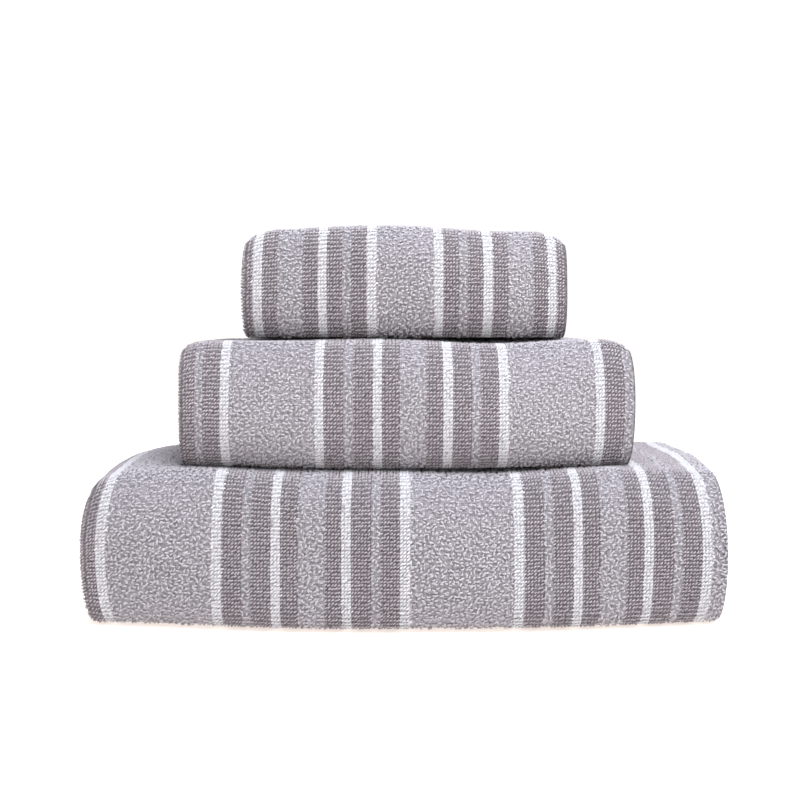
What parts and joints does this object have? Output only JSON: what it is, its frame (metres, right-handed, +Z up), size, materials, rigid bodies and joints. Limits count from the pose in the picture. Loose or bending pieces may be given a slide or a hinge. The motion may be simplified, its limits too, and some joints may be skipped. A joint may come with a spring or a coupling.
{
  "type": "bath towel set",
  "caption": "Stack of folded striped terry towels in graded sizes, with hemmed ends, sewn care labels and smooth front folds; each lifts off, and the top towel's fold opens.",
  "frame": {"origin": "middle of the underside of the lowest towel, which is the bottom centre of the stack's box", "axes": "+X along the smooth front folds, from the lengthwise folds to the selvedges; -Y out of the front folds; +Z up through the stack"},
  "size_m": [0.45, 0.204, 0.289],
  "materials": {
    "terry": "matte looped pile",
    "hem": "matte flat weave",
    "thread": "satin twisted thread",
    "label": "satin ribbon"
  },
  "bodies": {
    "bath_sheet": {"bath_sheet_cloth": "terry", "bath_sheet_lower_end_hem": "hem", "bath_sheet_lower_hem_stitching": "thread", "bath_sheet_upper_end_hem": "hem", "bath_sheet_upper_hem_stitching": "thread", "bath_sheet_care_label": "label"},
    "bath_towel": {"bath_towel_cloth": "terry", "bath_towel_lower_end_hem": "hem", "bath_towel_lower_hem_stitching": "thread", "bath_towel_upper_end_hem": "hem", "bath_towel_upper_hem_stitching": "thread", "bath_towel_care_label": "label"},
    "hand_towel": {"hand_towel_lower_leaf": "terry", "hand_towel_lower_end_hem": "hem", "hand_towel_lower_hem_stitching": "thread", "hand_towel_upper_end_hem": "hem", "hand_towel_upper_hem_stitching": "thread", "hand_towel_care_label": "label"},
    "hand_towel_upper_half": {"hand_towel_upper_leaf": "terry"}
  },
  "joints": [
    {"name": "bath_towel_lift", "type": "slide", "parent": "bath_sheet", "child": "bath_towel", "axis": [0, 0, 1], "range_m": [0, 0.15]},
    {"name": "hand_towel_lift", "type": "slide", "parent": "bath_towel", "child": "hand_towel", "axis": [0, 0, 1], "range_m": [0, 0.15]},
    {"name": "hand_towel_fold", "type": "hinge", "parent": "hand_towel", "child": "hand_towel_upper_half", "pos_m": [0, -0.066, 0.2338], "axis": [1, 0, 0], "range_deg": [0, 90]}
  ]
}
